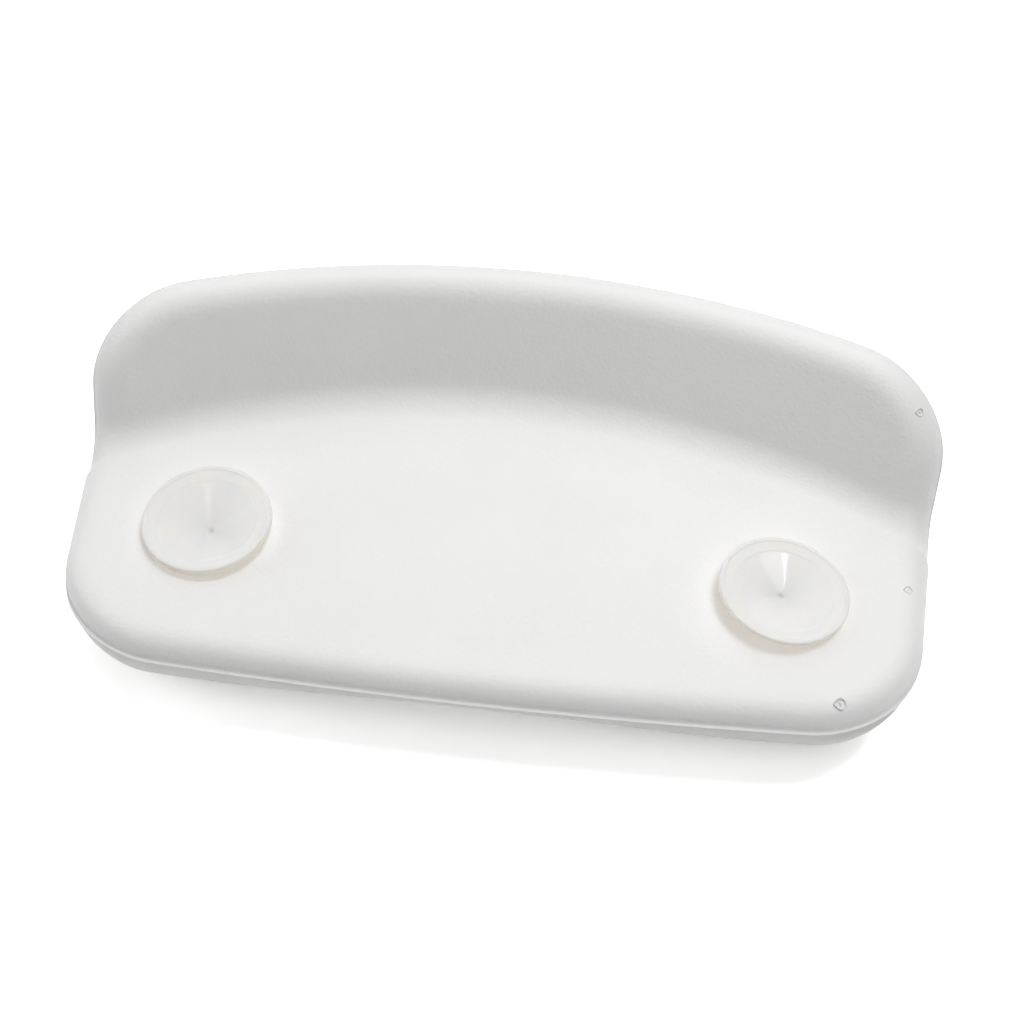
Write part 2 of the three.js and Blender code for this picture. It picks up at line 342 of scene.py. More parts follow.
@dataclass(frozen=True)
class ClearVinyl:
    """Soft milky vinyl with a glossy skin, which lets much of the light through. Its cut edge is warmer,
    partly the vinyl's own deeper tint and partly painted warm shade under the rim, and the hollow of its gate
    is painted darker as shade.
    """

    name: str = "milky_soft_vinyl"
    colour: Colour = (0.855, 0.856, 0.85)
    cloud: Colour = (0.844, 0.845, 0.838)
    # Warmer colour of the cut edge: partly the vinyl's deeper tint, partly painted warm shade under the rim.
    edge: Colour = (0.855, 0.82, 0.77)
    # Darker colour painted into the hollow of the gate as shade.
    pit: Colour = (0.80, 0.79, 0.76)
    shadow: Colour = (0.67, 0.635, 0.59)
    alpha: float = 0.9
    depth_mm: float = 2.4
    spread: Colour = (1.0, 0.9, 0.7)
    roughness: float = 0.3
    skin_roughness: float = 0.05
    cloud_mm: float = 9.0
    ripple_mm: float = 5.0
    ripple_depth_mm: float = 0.03

    def material(self) -> Material:
        """Builds the material.

        Returns:
            The material.
        """
        graph = Graph(self.name)
        place = graph.place()
        body = graph.blend(graph.noise(place, self.cloud_mm, detail=2.0), self.colour, self.cloud)
        edge = graph.add("ShaderNodeAttribute", attribute_name="edge").outputs["Fac"]
        pit = graph.add("ShaderNodeAttribute", attribute_name="pit").outputs["Fac"]
        # Blends in the warm edge colour, partly painted shade, and the shade painted into the hollow of the
        # gate.
        colour = graph.blend(pit, graph.blend(edge, body, self.edge), self.pit)
        ripple = graph.bump(graph.noise(place, self.ripple_mm, detail=1.0), self.ripple_depth_mm)
        inputs = {
            "Base Color": colour,
            "Roughness": self.roughness,
            "IOR": 1.5,
            "Specular IOR Level": 0.2,
            "Alpha": self.alpha,
            "Subsurface Weight": 1.0,
            "Subsurface Radius": self.spread,
            "Subsurface Scale": self.depth_mm * MM,
            "Coat Weight": 1.0,
            "Coat Roughness": self.skin_roughness,
            "Normal": ripple,
            "Coat Normal": ripple,
        }
        vinyl = graph.out("ShaderNodeBsdfPrincipled", inputs)
        passed = graph.out("ShaderNodeBsdfTransparent", {"Color": (*self.shadow, 1.0)})
        sides = {0: graph.seen("Is Shadow Ray"), 1: vinyl, 2: passed}
        return graph.finish(graph.out("ShaderNodeMixShader", sides))


@dataclass(frozen=True)
class WhiteFloor:
    """White studio floor that looks brighter than the light it gives, so only its deep shadow is grey."""

    name: str = "studio_floor"
    colour: Colour = (0.95, 0.95, 0.95)
    shade: Colour = (0.946, 0.946, 0.946)
    extra: Colour = (0.92, 0.92, 0.92)
    lift: float = 0.21
    cloud_mm: float = 40.0

    def material(self) -> Material:
        """Builds the material.

        Returns:
            The material.
        """
        graph = Graph(self.name)
        cloud = graph.noise(graph.place(), self.cloud_mm, detail=2.0)
        plain = graph.out("ShaderNodeBsdfDiffuse", {"Color": graph.blend(cloud, self.colour, self.shade)})
        extra = graph.out("ShaderNodeBsdfDiffuse", {"Color": (*self.extra, 1.0)})
        glow = graph.out("ShaderNodeEmission", {"Color": (1.0, 1.0, 1.0, 1.0), "Strength": self.lift})
        bright = graph.out("ShaderNodeAddShader", {0: plain, 1: extra})
        lifted = graph.out("ShaderNodeAddShader", {0: bright, 1: glow})
        looks = graph.seen("Is Camera Ray", "Is Glossy Ray", "Is Transmission Ray")
        sides = {0: looks, 1: plain, 2: lifted}
        return graph.finish(graph.out("ShaderNodeMixShader", sides))


def around(grid: np.ndarray) -> np.ndarray:
    """Border of a grid, in order."""
    return np.concatenate([grid[0, :-1], grid[:-1, -1], grid[-1, :0:-1], grid[:0:-1, 0]])


def mark_vertices(mesh: bpy.types.Mesh, marks: dict[str, np.ndarray]) -> None:
    """Adds attributes to the vertices of a mesh.

    Args:
        mesh: Mesh to add to.
        marks: Numbers or vectors for each vertex, by the name of the attribute.
    """
    for name, values in marks.items():
        vectors = values.ndim == 2
        attribute = mesh.attributes.new(name, "FLOAT_VECTOR" if vectors else "FLOAT", "POINT")
        attribute.data.foreach_set("vector" if vectors else "value", values.astype(np.float32).ravel())


class Piece:
    """A mesh object of the visual model, with its vertices in the frame of the part."""

    def __init__(self, mesh: bpy.types.Mesh) -> None:
        """Puts a mesh into the scene under its own name."""
        self.object = bpy.data.objects.new(mesh.name, mesh)
        bpy.context.scene.collection.objects.link(self.object)

    @classmethod
    def solid(cls, name: str, points: np.ndarray, faces: Faces, finish: Material) -> Piece:
        """Makes a piece from its faces.

        Args:
            name: Name of the object.
            points: Vertices in metres, in the frame of the part.
            faces: Vertex numbers of each face, seen from outside.
            finish: Material.

        Returns:
            The piece.
        """
        mesh = bpy.data.meshes.new(name)
        mesh.from_pydata([tuple(p) for p in points], [], faces)
        mesh.validate()
        mesh.materials.append(finish)
        return cls(mesh)

    @classmethod
    def wire(cls, name: str, points: np.ndarray, closed: bool) -> Piece:
        """Makes a bare line, or bare points, for a tree to build on.

        Args:
            name: Name of the object.
            points: Vertices in metres.
            closed: Whether a line joins them in order, back to the first.

        Returns:
            The piece.
        """
        count = len(points)
        edges = [(k, (k + 1) % count) for k in range(count)] if closed else []
        mesh = bpy.data.meshes.new(name)
        mesh.from_pydata([tuple(p) for p in points], edges, [])
        return cls(mesh)

    def freeze(self) -> Piece:
        """Turns what the modifiers make into the piece's own plain mesh.

        Returns:
            The piece, without modifiers.
        """
        bpy.context.view_layer.update()
        evaluated = self.object.evaluated_get(bpy.context.evaluated_depsgraph_get())
        mesh = bpy.data.meshes.new_from_object(evaluated)
        mesh.name = self.object.name
        self.object.modifiers.clear()
        self.object.data = mesh
        return self

    def shade(self, crease_degrees: float) -> Piece:
        """Shades the mesh smooth, but for its sharp edges.

        Args:
            crease_degrees: Angle past which an edge is sharp.

        Returns:
            The piece.
        """
        mesh = self.object.data
        mesh.shade_smooth()
        mesh.set_sharp_from_angle(angle=math.radians(crease_degrees))
        return self

    def cut(self, cutters: list[Piece]) -> None:
        """Cuts other pieces out of this one and removes them.

        Args:
            cutters: Closed pieces.
        """
        for number, cutter in enumerate(cutters):
            modifier = self.object.modifiers.new(f"cut_{number}", "BOOLEAN")
            modifier.operation = "DIFFERENCE"
            modifier.solver = "EXACT"
            modifier.object = cutter.object
        self.freeze()
        for cutter in cutters:
            bpy.data.objects.remove(cutter.object)

    def join_frame(self, body: str, slot: str, nodes: tuple[str, ...] = ()) -> None:
        """Ties the piece to the CAD frame.

        Args:
            body: Body that it moves with.
            slot: Material slot of the record; not used.
            nodes: CAD nodes that it stands for.
        """
        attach(self.object, body)
        if nodes:
            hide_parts(*nodes)
        count = sum(len(p.vertices) - 2 for p in self.object.data.polygons)
        LOG.info("%s: %d triangles on %s", self.object.name, count, body)


@dataclass(frozen=True)
class FoldedSheet:
    """The surface between the two mould halves: a flat plate, a fold and a leaning lip.

    A place on it is (x, s), s running from the start of the fold: negative on the plate, positive over the
    fold and up the lip. Depths are measured square to it, towards the back or towards the head.
    """

    origin: Vector
    half_front: float = 140.4
    half_root: float = 153.0
    half_top: float = 153.8
    front_corner: float = 34.0
    head_corner: float = 30.0
    fill_out: float = 0.9
    groove: float = 0.7
    top_corner: float = 31.0
    front_reach: float = 46.2
    front_bulge: float = 5.2
    root_reach: float = 64.3
    arch_radius: float = 305.0
    back_depth: float = 11.4
    parting_rise: float = 3.0
    edge_power: float = 2.35
    head_power: float = 2.0
    inner_fillet: float = 15.0
    lip_lean: float = 29.4
    lip_run: float = 40.8
    lip_end_rise: float = 3.1
    lip_depth: float = 8.6
    neck_depth: float = 16.9
    neck_crown: float = 5.0
    crown_reach: float = 50.0
    crown_fade: float = 20.0
    lobe_depth: float = 33.9
    lobe_start: float = 112.0
    lip_thinning: float = 15.0
    wave_fade: float = 12.0
    round_steps: int = 14
    zone_steps: int = 8
    edge_zone: float = 28.0
    plate_rows: int = 26
    fold_rows: int = 18
    lip_rows: int = 5
    middle_columns: int = 84
    settling_rounds: int = 40
    half_gap: float = 0.15

    @property
    def fold_radius(self) -> float:
        """Radius of the sheet in the fold."""
        return self.back_depth + self.inner_fillet

    @property
    def fold_angle(self) -> float:
        """Angle that the sheet turns through in the fold."""
        return math.radians(90.0 - self.lip_lean)

    @property
    def fold_length(self) -> float:
        """Length of the sheet in the fold."""
        return self.fold_radius * self.fold_angle

    def root_line(self, x: np.ndarray) -> np.ndarray:
        """Where the fold starts, from the line through both cups."""
        return self.root_reach - self.arch_radius + np.sqrt(self.arch_radius**2 - x**2)

    def root_slope(self, x: np.ndarray) -> np.ndarray:
        """Slope of the line on which the fold starts."""
        return -x / np.sqrt(self.arch_radius**2 - x**2)

    def front_end(self, x: np.ndarray) -> np.ndarray:
        """Place s of the front edge."""
        edge = -self.front_reach - self.front_bulge * (1.0 - (x / self.half_front) ** 2)
        return edge - self.root_line(x)

    def top_end(self, x: np.ndarray) -> np.ndarray:
        """Place s of the top edge of the lip."""
        return self.fold_length + self.lip_run + self.lip_end_rise * (x / self.half_front) ** 2

    def half_length(self, s: np.ndarray) -> np.ndarray:
        """Half length of the sheet, without its rounded corners.

        Args:
            s: Along the section.

        Returns:
            Half length at each s.
        """
        middle = np.zeros(1)
        plate = mix(self.half_root, self.half_front, s / self.front_end(middle))
        lip = mix(self.half_root, self.half_top, s / self.top_end(middle))
        return np.where(s < 0.0, plate, lip)

    @staticmethod
    def corner_cut(b: np.ndarray, radius: float) -> np.ndarray:
        """How far a rounded corner draws the end of a row in, at a distance from the edge."""
        side = np.clip(radius - b, 0.0, radius)
        return radius - np.sqrt(radius**2 - side**2)

    @staticmethod
    def corner_distance(a: np.ndarray, b: np.ndarray, radius: float) -> np.ndarray:
        """Distance to the nearer of two edges that meet in a rounded corner."""
        inside = (a < radius) & (b < radius)
        return np.where(inside, radius - np.hypot(radius - a, radius - b), np.minimum(a, b))

    def lines(self) -> np.ndarray:
        """Lines of the grid near an edge, closer where the faces round off.

        Returns:
            Distance of each line from the edge.
        """
        angles = np.linspace(0.0, 0.5 * np.pi, self.round_steps + 1)
        near = self.back_depth * (1.0 - np.cos(angles))
        far = np.linspace(self.back_depth, self.edge_zone, self.zone_steps + 1)
        return np.concatenate([near, far[1:]])

    def rows(self, inset: float) -> np.ndarray:
        """Rows of the grid.

        Args:
            inset: How far the outline is drawn in.

        Returns:
            For each row, its shares of the front end and of the top end, and a constant, which add up to s.
        """
        lines = self.lines() + inset
        plate = np.linspace(0.0, 1.0, self.plate_rows + 2)[1:-1]
        lip = np.linspace(0.0, 1.0, self.lip_rows + 2)[1:-1]
        fold = np.linspace(0.0, self.fold_length, self.fold_rows)
        bands = [
            (np.ones_like(lines), np.zeros_like(lines), lines),
            (1.0 - plate, np.zeros_like(plate), (1.0 - plate) * lines[-1]),
            (np.zeros_like(fold), np.zeros_like(fold), fold),
            (np.zeros_like(lip), lip, mix(self.fold_length, -lines[-1], lip)),
            (np.zeros_like(lines), np.ones_like(lines), -lines[::-1]),
        ]
        return np.concatenate([np.stack(band, axis=1) for band in bands])

    def columns(self) -> np.ndarray:
        """Columns of the grid.

        Returns:
            For each column, its share of the half length and an offset, which add up to x.
        """
        lines = self.lines()
        middle = np.linspace(-1.0, 1.0, self.middle_columns + 1)[1:-1]
        bands = [
            (-np.ones_like(lines), lines),
            (middle, -middle * lines[-1]),
            (np.ones_like(lines), -lines[::-1]),
        ]
        return np.concatenate([np.stack(band, axis=1) for band in bands])

    def grid(self, inset: float, corner: float) -> tuple[np.ndarray, np.ndarray, np.ndarray]:
        """Places of the grid for a sheet drawn in by an inset.

        Args:
            inset: How far the outline is drawn in.
            corner: Radius of the front corners before that.

        Returns:
            x, s and the distance to the outline, by row and column.
        """
        front_share, top_share, constant = (part[:, None] for part in self.rows(inset).T)
        share, offset = self.columns().T
        front_radius = corner - inset
        top_radius = self.top_corner - inset
        x = np.broadcast_to(share * self.half_front + offset, (len(constant), len(share)))
        for _ in range(self.settling_rounds):
            s = front_share * self.front_end(x) + top_share * self.top_end(x) + constant
            cut_front = self.corner_cut(s - self.front_end(x) - inset, front_radius)
            cut_top = self.corner_cut(self.top_end(x) - inset - s, top_radius)
            x = share * (self.half_length(s) - inset - np.maximum(cut_front, cut_top)) + offset
        s = front_share * self.front_end(x) + top_share * self.top_end(x) + constant
        return x, s, self.edge_distance(x, s, inset, corner)

    def edge_distance(self, x: np.ndarray, s: np.ndarray, inset: float, corner: float) -> np.ndarray:
        """Distance to the outline of a sheet drawn in by an inset.

        Args:
            x: Along the pillow.
            s: Along the section.
            inset: How far the outline is drawn in.
            corner: Radius of the front corners before that.

        Returns:
            Distance at each place, not below 0.
        """
        side = self.half_length(s) - inset - np.abs(x)
        front = self.corner_distance(side, s - self.front_end(x) - inset, corner - inset)
        top = self.corner_distance(side, self.top_end(x) - inset - s, self.top_corner - inset)
        return np.maximum(np.minimum(front, top), 0.0)

    def rise(self, s: np.ndarray) -> np.ndarray:
        """Height of the sheet over its level at the fold, growing evenly to the front edge."""
        return self.parting_rise * np.clip(s / self.front_end(np.zeros(1)), 0.0, 1.0)

    def place(self, x: np.ndarray, s: np.ndarray) -> tuple[np.ndarray, np.ndarray]:
        """Points of the sheet and their normals towards the back.

        Args:
            x: Along the pillow.
            s: Along the section.

        Returns:
            Points and unit normals, in millimetres from the middle of the cup line.
        """
        turn = np.clip(s / self.fold_radius, 0.0, self.fold_angle)
        beyond = np.maximum(s - self.fold_length, 0.0)
        y = self.root_line(x) + np.minimum(s, 0.0) + self.fold_radius * np.sin(turn)
        y = y + beyond * math.cos(self.fold_angle)
        z = self.rise(s) + self.fold_radius * (1.0 - np.cos(turn)) + beyond * math.sin(self.fold_angle)
        normal = np.stack([self.root_slope(x) * np.sin(turn), -np.sin(turn), np.cos(turn)], axis=-1)
        normal /= np.linalg.norm(normal, axis=-1, keepdims=True)
        return np.stack([x, y, z], axis=-1), normal

    def head_depth(self, x: np.ndarray, s: np.ndarray) -> np.ndarray:
        """Depth of the head side: shallow at the neck, deep at both ends, thin up the lip."""
        plate = mix(self.neck_depth, self.lobe_depth, smooth(np.abs(x) / self.lobe_start))
        return mix(plate, self.lip_depth, smooth(s / (self.fold_length + self.lip_thinning)))

    def crown(self, x: np.ndarray, s: np.ndarray, d: np.ndarray) -> np.ndarray:
        """Extra depth of the neck hollow away from the edges.

        Args:
            x: Along the pillow.
            s: Along the section.
            d: Distance to the outline.

        Returns:
            Extra depth at each place.
        """
        on_plate = 1.0 - smooth((s + self.crown_fade) / (self.fold_length + self.crown_fade))
        inside = 1.0 - smooth(np.abs(x) / self.lobe_start)
        return self.neck_crown * smooth(d / self.crown_reach) * on_plate * inside

    @staticmethod
    def rounded(d: np.ndarray, radius: np.ndarray | float, power: float) -> np.ndarray:
        """Rounding that starts square to the sheet at its outline: a quarter circle where the power is 2."""
        return radius * (1.0 - (1.0 - np.minimum(d / radius, 1.0)) ** power) ** (1.0 / power)

    @staticmethod
    def waves(x: np.ndarray, s: np.ndarray) -> np.ndarray:
        """Slow waves of a hand-finished mould, from -1 to 1."""
        return sum(np.sin(x / along + s / across + start) for along, across, start in WAVES) / len(WAVES)

    def back_height(self, s: np.ndarray, d: np.ndarray, inset: float = 0.0) -> np.ndarray:
        """Height of the back face over the sheet, at a distance from the outline."""
        return self.rounded(d, self.back_depth - self.rise(s) - inset, self.edge_power)

    def face(
        self,
        side: Side,
        inset: float,
        lift: float,
        uneven: float = 0.0,
        corner: float | None = None,
        least: float = 0.0,
    ) -> np.ndarray:
        """Points of one face of the moulding.

        Args:
            side: Which face.
            inset: How far it lies inside the outer face.
            lift: Gap to the sheet.
            uneven: Height of the mould's slow waves.
            corner: Radius of the front corners, where it isn't that of the parting line.
            least: Least depth of the face, at its outline.

        Returns:
            Points in metres by row and column.
        """
        x, s, d = self.grid(inset, corner or self.front_corner)
        point, normal = self.place(x, s)
        if side is Side.BACK:
            depth = self.back_height(s, d, inset)
        else:
            depth = self.rounded(d, self.head_depth(x, s) - inset, self.head_power) + self.crown(x, s, d)
        uneven_depth = uneven * self.waves(x, s) * smooth(d / self.wave_fade)
        depth = np.maximum(depth, least) + lift + uneven_depth
        return self.to_frame(point + normal * (side.value * depth)[..., None])

    def head_face(self, inset: float, lift: float, uneven: float) -> np.ndarray:
        """Points of the outer face of the head side.

        A groove runs under the parting line, and below it the front corners fill out.

        Args:
            inset: How far it lies inside the parting line.
            lift: Gap to the sheet.
            uneven: Height of the mould's slow waves.

        Returns:
            Points in metres by row and column.
        """
        trim = self.face(Side.HEAD, inset, lift, uneven, least=self.groove)
        full = self.face(Side.HEAD, inset, lift, uneven, self.head_corner, self.groove)
        _, _, d = self.grid(inset, self.front_corner)
        return mix(trim, full, smooth(d / self.fill_out)[..., None])

    def rim(self) -> tuple[np.ndarray, np.ndarray]:
        """Outline of the sheet.

        Returns:
            Points in order round the outline, in millimetres, and the unit way out of the sheet at each.
        """
        x, s, _ = self.grid(0.0, self.front_corner)
        points, normals = (around(values) for values in self.place(x, s))
        out = np.cross(np.roll(points, -1, axis=0) - np.roll(points, 1, axis=0), normals)
        return points, out / np.linalg.norm(out, axis=1, keepdims=True)

    def back_point(self, x: float, s: float) -> np.ndarray:
        """Point of the outer back face.

        Args:
            x: Along the pillow.
            s: Along the section.

        Returns:
            The point, in metres.
        """
        xs = np.array([x])
        ss = np.array([s])
        depth = self.back_height(ss, self.edge_distance(xs, ss, 0.0, self.front_corner)) + self.half_gap
        point, normal = self.place(xs, ss)
        return self.to_frame(point + normal * depth[:, None])[0]

    def to_frame(self, points: np.ndarray) -> np.ndarray:
        """Moves points from the cup line, in millimetres, to the frame of the part, in metres."""
        return points * MM + np.array(self.origin)


@dataclass
class MouldedBody:
    """The foam moulding: a core between the skins of the two mould halves."""

    sheet: FoldedSheet
    cup_half_spacing: float
    skin: float = 1.6
    parting_step: float = 0.8
    uneven: float = 0.1
    pocket_radius: float = 8.8
    pocket_depth: float = 16.3
    pocket_sides: int = 128
    cutter_overshoot: float = 5.0
    crease: float = 40.0
    fill: float = 1.0
    back_finish: FoamSkin = FoamSkin("white_foam_skin", (0.874, 0.872, 0.867), (0.854, 0.852, 0.846))
    # The head skin is a little greyer than the back skin: partly its own tone, partly painted shade of the
    # side that faces down.
    head_finish: FoamSkin = FoamSkin(
        "white_head_skin", (0.84, 0.837, 0.829), (0.82, 0.817, 0.808), gloss=0.15
    )
    core_finish: OpenFoam = OpenFoam()

    @staticmethod
    def closed(upper: np.ndarray, lower: np.ndarray) -> tuple[np.ndarray, Faces]:
        """Closes two grids into one body.

        Args:
            upper: Grid that looks towards the back.
            lower: Grid of the same shape that looks towards the head.

        Returns:
            Vertices and faces.
        """
        rows, columns, _ = upper.shape
        number = np.arange(rows * columns).reshape(rows, columns)
        corners = (number[:-1, :-1], number[:-1, 1:], number[1:, 1:], number[1:, :-1])
        quads = np.stack([c.ravel() for c in corners], axis=1)
        rim = around(number)
        following = np.roll(rim, -1)
        count = rows * columns
        strip = np.stack([rim, rim + count, following + count, following], axis=1)
        faces = np.concatenate([quads, quads[:, ::-1] + count, strip])
        points = np.concatenate([upper.reshape(-1, 3), lower.reshape(-1, 3)])
        return points, faces.tolist()

    def pocket(self, name: str, x: float, bottom: float) -> Piece:
        """Cutter for the pocket of a cup holder.

        Args:
            name: Name of the cutter.
            x: Place along the pillow.
            bottom: Depth under the back face.

        Returns:
            The cutter.
        """
        sides = self.pocket_sides
        top = self.sheet.back_depth
        angle = np.linspace(0.0, 2.0 * np.pi, sides, endpoint=False)
        circle = self.pocket_radius * np.stack([np.cos(angle), np.sin(angle)], axis=1) + (x, 0.0)
        low = np.column_stack([circle, np.full(sides, top - bottom)])
        high = np.column_stack([circle, np.full(sides, top + self.cutter_overshoot)])
        ring = np.arange(sides)
        following = np.roll(ring, -1)
        walls = np.stack([ring, following, following + sides, ring + sides], axis=1).tolist()
        faces = [*walls, ring[::-1].tolist(), (ring + sides).tolist()]
        points = self.sheet.to_frame(np.concatenate([low, high]))
        return Piece.solid(name, points, faces, bpy.data.materials.new(name))

    def pockets(self, bottom: float) -> list[Piece]:
        """Both cutters, down to a depth under the back face."""
        places = ((End.LEFT, -self.cup_half_spacing), (End.RIGHT, self.cup_half_spacing))
        return [self.pocket(f"{end.value}_pocket", x, bottom) for end, x in places]

    def build(self) -> Material:
        """Builds the core and both skins.

        Returns:
            Material of the back skin.
        """
        sheet = self.sheet
        gap = sheet.half_gap
        step = self.parting_step
        inner = self.skin + 2.0 * gap
        back_outer = sheet.face(Side.BACK, 0.0, gap, self.uneven)
        back = self.closed(back_outer, sheet.face(Side.BACK, self.skin, gap))
        head_outer = sheet.head_face(step, gap, self.uneven)
        head = self.closed(sheet.face(Side.HEAD, step + self.skin, gap), head_outer)
        core = self.closed(sheet.face(Side.BACK, inner, 0.0), sheet.face(Side.HEAD, step + inner, 0.0))
        white = self.back_finish.material()
        back_skin = Piece.solid("back_skin_shell", *back, white)
        back_skin.cut(self.pockets(0.5 * sheet.back_depth))
        head_skin = Piece.solid("head_skin_shell", *head, self.head_finish.material())
        foam = Piece.solid("foam_core_block", *core, self.core_finish.material())
        foam.cut(self.pockets(self.pocket_depth))
        for piece, slot in ((back_skin, "back_skin"), (head_skin, "front_skin"), (foam, "foam_core")):
            piece.shade(self.crease).join_frame("pillow", slot, (slot,))
        return white


class Tree(Nodes):
    """A Geometry Nodes tree with named inputs."""

    def __init__(self, name: str) -> None:
        """Starts a tree that takes and gives geometry.

        Args:
            name: Name of the tree.
        """
        super().__init__(bpy.data.node_groups.new(name, "GeometryNodeTree"))
        for way in ("INPUT", "OUTPUT"):
            self.tree.interface.new_socket("Geometry", in_out=way, socket_type="NodeSocketGeometry")
        self.values: dict[str, object] = {}
        self.start = self.add("NodeGroupInput")

    @property
    def bare(self) -> Socket:
        """Geometry that the tree starts from."""
        return self.start.outputs["Geometry"]

    def value(self, name: str, kind: str, value: object) -> Socket:
        """Adds a named input.

        Args:
            name: Name of the input.
            kind: Type of its socket, without the leading NodeSocket.
            value: Value for the modifier.

        Returns:
            The socket that gives the input's value.
        """
        socket = self.tree.interface.new_socket(name, in_out="INPUT", socket_type=f"NodeSocket{kind}")
        self.values[socket.identifier] = value
        return next(s for s in self.start.outputs if s.identifier == socket.identifier)

    def step(self, kind: str, inputs: dict[str, object], **settings: object) -> Socket:
        """Adds a geometry node, by its type without the leading GeometryNode, and returns its output."""
        return self.out(f"GeometryNode{kind}", inputs, **settings)

    def marked(self, name: str, kind: str) -> Socket:
        """Reads an attribute of the bare mesh, by its name and type."""
        return self.step("InputNamedAttribute", {"Name": name}, data_type=kind)

    def finish(self, geometry: Socket, finish: Material) -> None:
        """Ends the tree in realised, smooth geometry with a material.

        Args:
            geometry: Geometry to end with.
            finish: Material.
        """
        material = self.value("Material", "Material", finish)
        realised = self.step("RealizeInstances", {"Geometry": geometry})
        rounded = self.step("SetShadeSmooth", {"Geometry": realised})
        painted = self.step("SetMaterial", {"Geometry": rounded, "Material": material})
        self.add("NodeGroupOutput", {"Geometry": painted})

    def grow(self, bare: Piece, marks: dict[str, np.ndarray]) -> Piece:
        """Runs the tree on a bare mesh.

        Args:
            bare: Line or points to start from.
            marks: Numbers or vectors for each vertex, kept as attributes under their names.

        Returns:
            The finished piece.
        """
        mark_vertices(bare.object.data, marks)
        modifier = bare.object.modifiers.new(self.tree.name, "NODES")
        modifier.node_group = self.tree
        for identifier, value in self.values.items():
            modifier[identifier] = value
        return bare.freeze()


@dataclass
class PartingFlash:
    """The thin trimmed fin along the line where the two mould halves met, hollow on its upper side.

    It has its full width along the front, and side_share of it where the outline has turned away.
    """

    sheet: FoldedSheet
    reach: float = 1.2
    fillet: float = 2.0
    lift: float = 0.65
    thickness: float = 0.12
    buried: float = 0.7
    wobble: float = 0.3
    wobble_size: float = 9.0
    spacing: float = 1.2
    steps: int = 9
    side_share: float = 0.28
    turned_away: float = 0.25
    full_front: float = 0.8

    def section(self) -> Piece:
        """Draws the fin's section, with x out of the body and y down.

        Returns:
            Its closed outline.
        """
        turn = np.linspace(0.0, 0.5 * np.pi, self.steps)
        hollow = self.fillet - self.lift - self.thickness
        upper = np.column_stack([self.reach * (1.0 - np.cos(turn)), hollow * np.sin(turn) - self.fillet])
        tip = [(self.reach + 0.5 * self.thickness, -self.lift), (self.reach, self.thickness - self.lift)]
        under = (-self.buried, self.thickness - self.lift)
        flat = np.array([(-self.buried, -self.fillet), *upper, *tip, under])
        return Piece.wire("fin_section", np.column_stack([flat * MM, np.zeros(len(flat))]), True)

    def build(self, finish: Material) -> None:
        """Sweeps a fin of uneven width along the outline.

        Args:
            finish: Material.
        """
        points, out = self.sheet.rim()
        facing = (-out[:, 1] - self.turned_away) / (self.full_front - self.turned_away)
        share = mix(self.side_share, 1.0, smooth(facing))
        tree = Tree("parting_flash_sweep")
        spacing = tree.value("Spacing", "Float", self.spacing * MM)
        section = self.section()
        drawn = tree.value("Section", "Object", section.object)
        wobble = tree.value("Wobble", "Float", self.wobble)
        scale = tree.value("Noise scale", "Float", 1.0 / (self.wobble_size * MM))
        line = tree.step("MeshToCurve", {"Mesh": tree.bare})
        even = tree.step("ResampleCurve", {"Curve": line, "Length": spacing}, mode="LENGTH")
        inputs = {"Curve": even, "Normal": tree.marked("out", "FLOAT_VECTOR")}
        facing_out = tree.step("SetCurveNormal", inputs, mode="FREE")
        noise = tree.out("ShaderNodeTexNoise", {"Scale": scale, "Detail": 2.0})
        inputs = {0: noise, 1: wobble, 2: 1.0 - 0.5 * self.wobble}
        swing = tree.out("ShaderNodeMath", inputs, operation="MULTIPLY_ADD")
        inputs = {0: swing, 1: tree.marked("share", "FLOAT")}
        width = tree.out("ShaderNodeMath", inputs, operation="MULTIPLY")
        outline = tree.add("GeometryNodeObjectInfo", {"Object": drawn}).outputs["Geometry"]
        profile = tree.step("MeshToCurve", {"Mesh": outline})
        inputs = {"Curve": facing_out, "Profile Curve": profile, "Scale": width}
        tree.finish(tree.step("CurveToMesh", inputs), finish)
        bare = Piece.wire("parting_flash", self.sheet.to_frame(points), True)
        fin = tree.grow(bare, {"out": out, "share": share})
        bpy.data.objects.remove(section.object)
        fin.join_frame("pillow", "back_skin")


